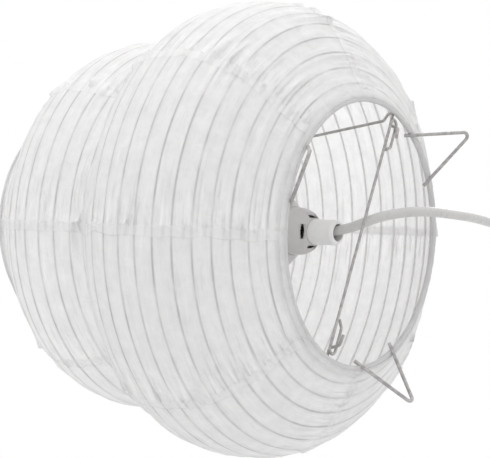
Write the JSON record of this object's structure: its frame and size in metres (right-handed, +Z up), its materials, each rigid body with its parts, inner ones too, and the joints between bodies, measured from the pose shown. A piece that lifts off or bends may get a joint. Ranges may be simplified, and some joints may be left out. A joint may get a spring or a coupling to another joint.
{
  "type": "accordion paper table lamp",
  "caption": "Table lamp with a two-tier accordion paper shade on wire hoops, three wire feet, inner wire frame, small screw lampholder and mains lead with switch and plug.",
  "frame": {"origin": "on the lamp's axis at the height of the table it stands on", "axes": "+Z up along the lamp's axis, out of the lamp socket; +X towards the side where the lead leaves"},
  "size_m": [0.4924, 0.285, 0.2619],
  "materials": {
    "paper": "thin white rice paper, matt, faintly see-through",
    "hem_paper": "folded paper strip, matt",
    "hoop_wire": "thin bare spring wire",
    "ring_wire": "satin grey wire",
    "grey_wire": "satin light grey lacquer on steel wire",
    "grip_plastic": "white moulded plastic",
    "holder_plastic": "white moulded plastic",
    "insert_plastic": "heat-proof moulded insulator",
    "brass": "stamped brass",
    "screw_steel": "plated steel",
    "core_insulation": "core insulation",
    "cord_pvc": "white flexible PVC sheath",
    "switch_plastic": "white moulded plastic",
    "rocker_plastic": "white moulded plastic",
    "plug_plastic": "white moulded PVC",
    "pin_metal": "nickel-plated brass"
  },
  "bodies": {
    "lamp_base": {"bottom_hem": "hem_paper", "bottom_ring": "ring_wire", "centre_contact": "brass", "contact_insert": "insert_plastic", "cord_coil": "cord_pvc", "cord_grip": "grip_plastic", "expander_frame": "grey_wire", "foot_1": "grey_wire", "foot_2": "grey_wire", "foot_3": "grey_wire", "holder_cap": "holder_plastic", "holder_carrier": "grey_wire", "inner_leads": "core_insulation", "lamp_barrel": "holder_plastic", "mains_cord": "cord_pvc", "paper_panels_1": "paper", "paper_panels_2": "paper", "paper_panels_3": "paper", "paper_panels_4": "paper", "plug_body": "plug_plastic", "plug_pins": "pin_metal", "seat_cone": "holder_plastic", "switch_base": "switch_plastic", "switch_cover": "switch_plastic", "terminal_screws": "screw_steel", "thread_shell": "brass"},
    "top_ring_body": {"top_ring": "ring_wire", "top_hem": "hem_paper"},
    "hoop_01_body": {"hoop_01": "hoop_wire"},
    "hoop_02_body": {"hoop_02": "hoop_wire"},
    "hoop_03_body": {"hoop_03": "hoop_wire"},
    "hoop_04_body": {"hoop_04": "hoop_wire"},
    "hoop_05_body": {"hoop_05": "hoop_wire"},
    "hoop_06_body": {"hoop_06": "hoop_wire"},
    "hoop_07_body": {"hoop_07": "hoop_wire"},
    "hoop_08_body": {"hoop_08": "hoop_wire"},
    "hoop_09_body": {"hoop_09": "hoop_wire"},
    "hoop_10_body": {"hoop_10": "hoop_wire"},
    "hoop_11_body": {"hoop_11": "hoop_wire"},
    "hoop_12_body": {"hoop_12": "hoop_wire"},
    "hoop_13_body": {"hoop_13": "hoop_wire"},
    "hoop_14_body": {"hoop_14": "hoop_wire"},
    "hoop_15_body": {"hoop_15": "hoop_wire"},
    "hoop_16_body": {"hoop_16": "hoop_wire"},
    "hoop_17_body": {"hoop_17": "hoop_wire"},
    "hoop_18_body": {"hoop_18": "hoop_wire"},
    "hoop_19_body": {"hoop_19": "hoop_wire"},
    "hoop_20_body": {"hoop_20": "hoop_wire"},
    "hoop_21_body": {"hoop_21": "hoop_wire"},
    "hoop_22_body": {"hoop_22": "hoop_wire"},
    "hoop_23_body": {"hoop_23": "hoop_wire"},
    "hoop_24_body": {"hoop_24": "hoop_wire"},
    "hoop_25_body": {"hoop_25": "hoop_wire"},
    "hoop_26_body": {"hoop_26": "hoop_wire"},
    "spreader_body": {"spreader_bar": "grey_wire"},
    "retaining_ring_body": {"retaining_ring": "holder_plastic"},
    "rocker_body": {"switch_rocker": "rocker_plastic"}
  },
  "joints": [
    {"name": "shade_collapse", "type": "slide", "parent": "lamp_base", "child": "top_ring_body", "axis": [0, 0, -1], "range_m": [0, 0.19], "deforming": ["paper_panels_1", "paper_panels_2", "paper_panels_3", "paper_panels_4"]},
    {"name": "hoop_01_slide", "type": "slide", "parent": "lamp_base", "child": "hoop_01_body", "axis": [0, 0, -1], "range_m": [0, 0.00487]},
    {"name": "hoop_02_slide", "type": "slide", "parent": "lamp_base", "child": "hoop_02_body", "axis": [0, 0, -1], "range_m": [0, 0.00907]},
    {"name": "hoop_03_slide", "type": "slide", "parent": "lamp_base", "child": "hoop_03_body", "axis": [0, 0, -1], "range_m": [0, 0.01331]},
    {"name": "hoop_04_slide", "type": "slide", "parent": "lamp_base", "child": "hoop_04_body", "axis": [0, 0, -1], "range_m": [0, 0.01793]},
    {"name": "hoop_05_slide", "type": "slide", "parent": "lamp_base", "child": "hoop_05_body", "axis": [0, 0, -1], "range_m": [0, 0.02337]},
    {"name": "hoop_06_slide", "type": "slide", "parent": "lamp_base", "child": "hoop_06_body", "axis": [0, 0, -1], "range_m": [0, 0.03006]},
    {"name": "hoop_07_slide", "type": "slide", "parent": "lamp_base", "child": "hoop_07_body", "axis": [0, 0, -1], "range_m": [0, 0.03787]},
    {"name": "hoop_08_slide", "type": "slide", "parent": "lamp_base", "child": "hoop_08_body", "axis": [0, 0, -1], "range_m": [0, 0.04625]},
    {"name": "hoop_09_slide", "type": "slide", "parent": "lamp_base", "child": "hoop_09_body", "axis": [0, 0, -1], "range_m": [0, 0.05486]},
    {"name": "hoop_10_slide", "type": "slide", "parent": "lamp_base", "child": "hoop_10_body", "axis": [0, 0, -1], "range_m": [0, 0.06352]},
    {"name": "hoop_11_slide", "type": "slide", "parent": "lamp_base", "child": "hoop_11_body", "axis": [0, 0, -1], "range_m": [0, 0.07206]},
    {"name": "hoop_12_slide", "type": "slide", "parent": "lamp_base", "child": "hoop_12_body", "axis": [0, 0, -1], "range_m": [0, 0.07975]},
    {"name": "hoop_13_slide", "type": "slide", "parent": "lamp_base", "child": "hoop_13_body", "axis": [0, 0, -1], "range_m": [0, 0.08586]},
    {"name": "hoop_14_slide", "type": "slide", "parent": "lamp_base", "child": "hoop_14_body", "axis": [0, 0, -1], "range_m": [0, 0.09157]},
    {"name": "hoop_15_slide", "type": "slide", "parent": "lamp_base", "child": "hoop_15_body", "axis": [0, 0, -1], "range_m": [0, 0.09878]},
    {"name": "hoop_16_slide", "type": "slide", "parent": "lamp_base", "child": "hoop_16_body", "axis": [0, 0, -1], "range_m": [0, 0.10734]},
    {"name": "hoop_17_slide", "type": "slide", "parent": "lamp_base", "child": "hoop_17_body", "axis": [0, 0, -1], "range_m": [0, 0.1156]},
    {"name": "hoop_18_slide", "type": "slide", "parent": "lamp_base", "child": "hoop_18_body", "axis": [0, 0, -1], "range_m": [0, 0.12401]},
    {"name": "hoop_19_slide", "type": "slide", "parent": "lamp_base", "child": "hoop_19_body", "axis": [0, 0, -1], "range_m": [0, 0.13265]},
    {"name": "hoop_20_slide", "type": "slide", "parent": "lamp_base", "child": "hoop_20_body", "axis": [0, 0, -1], "range_m": [0, 0.14116]},
    {"name": "hoop_21_slide", "type": "slide", "parent": "lamp_base", "child": "hoop_21_body", "axis": [0, 0, -1], "range_m": [0, 0.14914]},
    {"name": "hoop_22_slide", "type": "slide", "parent": "lamp_base", "child": "hoop_22_body", "axis": [0, 0, -1], "range_m": [0, 0.15636]},
    {"name": "hoop_23_slide", "type": "slide", "parent": "lamp_base", "child": "hoop_23_body", "axis": [0, 0, -1], "range_m": [0, 0.16287]},
    {"name": "hoop_24_slide", "type": "slide", "parent": "lamp_base", "child": "hoop_24_body", "axis": [0, 0, -1], "range_m": [0, 0.16909]},
    {"name": "hoop_25_slide", "type": "slide", "parent": "lamp_base", "child": "hoop_25_body", "axis": [0, 0, -1], "range_m": [0, 0.17556]},
    {"name": "hoop_26_slide", "type": "slide", "parent": "lamp_base", "child": "hoop_26_body", "axis": [0, 0, -1], "range_m": [0, 0.18264]},
    {"name": "spreader_shift", "type": "slide", "parent": "lamp_base", "child": "spreader_body", "axis": [0.3827, -0.9239, 0], "range_m": [-0.0015, 0.0015]},
    {"name": "retaining_ring_turn", "type": "hinge", "parent": "lamp_base", "child": "retaining_ring_body", "pos_m": [0, 0, 0.0945], "axis": [0, 0, 1], "range_deg": [0, 360]},
    {"name": "switch_rock", "type": "hinge", "parent": "lamp_base", "child": "rocker_body", "pos_m": [0.191, 0.004, 0.0165], "axis": [-0.2591, 0.9658, 0], "range_deg": [0, 11]}
  ],
  "couplings": [
    {"joint": "hoop_01_slide", "follows": "shade_collapse", "ratio": 0.023},
    {"joint": "hoop_02_slide", "follows": "shade_collapse", "ratio": 0.0451},
    {"joint": "hoop_03_slide", "follows": "shade_collapse", "ratio": 0.06743},
    {"joint": "hoop_04_slide", "follows": "shade_collapse", "ratio": 0.09172},
    {"joint": "hoop_05_slide", "follows": "shade_collapse", "ratio": 0.12038},
    {"joint": "hoop_06_slide", "follows": "shade_collapse", "ratio": 0.15557},
    {"joint": "hoop_07_slide", "follows": "shade_collapse", "ratio": 0.1967},
    {"joint": "hoop_08_slide", "follows": "shade_collapse", "ratio": 0.2408},
    {"joint": "hoop_09_slide", "follows": "shade_collapse", "ratio": 0.28608},
    {"joint": "hoop_10_slide", "follows": "shade_collapse", "ratio": 0.33171},
    {"joint": "hoop_11_slide", "follows": "shade_collapse", "ratio": 0.37663},
    {"joint": "hoop_12_slide", "follows": "shade_collapse", "ratio": 0.41712},
    {"joint": "hoop_13_slide", "follows": "shade_collapse", "ratio": 0.44924},
    {"joint": "hoop_14_slide", "follows": "shade_collapse", "ratio": 0.47929},
    {"joint": "hoop_15_slide", "follows": "shade_collapse", "ratio": 0.51726},
    {"joint": "hoop_16_slide", "follows": "shade_collapse", "ratio": 0.56229},
    {"joint": "hoop_17_slide", "follows": "shade_collapse", "ratio": 0.60577},
    {"joint": "hoop_18_slide", "follows": "shade_collapse", "ratio": 0.65006},
    {"joint": "hoop_19_slide", "follows": "shade_collapse", "ratio": 0.69554},
    {"joint": "hoop_20_slide", "follows": "shade_collapse", "ratio": 0.74032},
    {"joint": "hoop_21_slide", "follows": "shade_collapse", "ratio": 0.78234},
    {"joint": "hoop_22_slide", "follows": "shade_collapse", "ratio": 0.82033},
    {"joint": "hoop_23_slide", "follows": "shade_collapse", "ratio": 0.85457},
    {"joint": "hoop_24_slide", "follows": "shade_collapse", "ratio": 0.88734},
    {"joint": "hoop_25_slide", "follows": "shade_collapse", "ratio": 0.92136},
    {"joint": "hoop_26_slide", "follows": "shade_collapse", "ratio": 0.95863}
  ]
}
